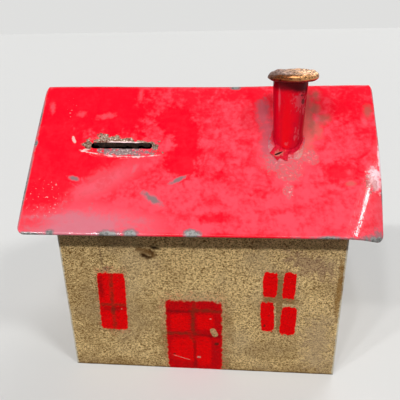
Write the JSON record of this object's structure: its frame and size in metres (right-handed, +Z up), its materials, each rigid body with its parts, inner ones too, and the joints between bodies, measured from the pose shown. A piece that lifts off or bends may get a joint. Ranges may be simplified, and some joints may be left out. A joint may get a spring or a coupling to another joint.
{
  "type": "house-shaped tin money box",
  "caption": "House-shaped sheet-metal money box with a gabled roof, a coin slot in the front slope, a capped chimney, painted openings and a swing-aside coin door in the base.",
  "frame": {"origin": "on the standing surface, under the middle of the walls and of the roof", "axes": "+X along the front from the viewer's left to right, +Y from the front to the back, +Z up"},
  "size_m": [0.2016, 0.1426, 0.1807],
  "materials": {
    "wall_paint": "khaki stucco paint, matt and wrinkled, stained brown",
    "roof_enamel": "glossy red enamel, chipped to bare tin at the edges",
    "chimney_enamel": "glossy dark red enamel",
    "cap_brass": "worn brass, uneven",
    "tinplate": "dull tinned iron with light rust",
    "solder": "dull soft solder",
    "rivet_iron": "hammered tinned iron"
  },
  "bodies": {
    "house": {"front_wall": "wall_paint", "back_wall": "wall_paint", "left_gable": "wall_paint", "right_gable": "wall_paint", "corner_solder": "solder", "base_plate": "tinplate", "base_solder": "solder", "roof": "roof_enamel", "roof_solder": "solder", "chimney_tube": "chimney_enamel", "chimney_cap": "cap_brass", "chimney_solder": "solder", "pivot_rivet": "rivet_iron", "pivot_washer": "rivet_iron", "keeper_rivet": "rivet_iron", "keeper_washer": "rivet_iron"},
    "coin_door": {"coin_door": "tinplate"}
  },
  "joints": [
    {"name": "coin_door_swing", "type": "hinge", "parent": "house", "child": "coin_door", "pos_m": [0.023, -0.022, 0.0065], "axis": [0, 0, -1], "range_deg": [0, 107]}
  ]
}
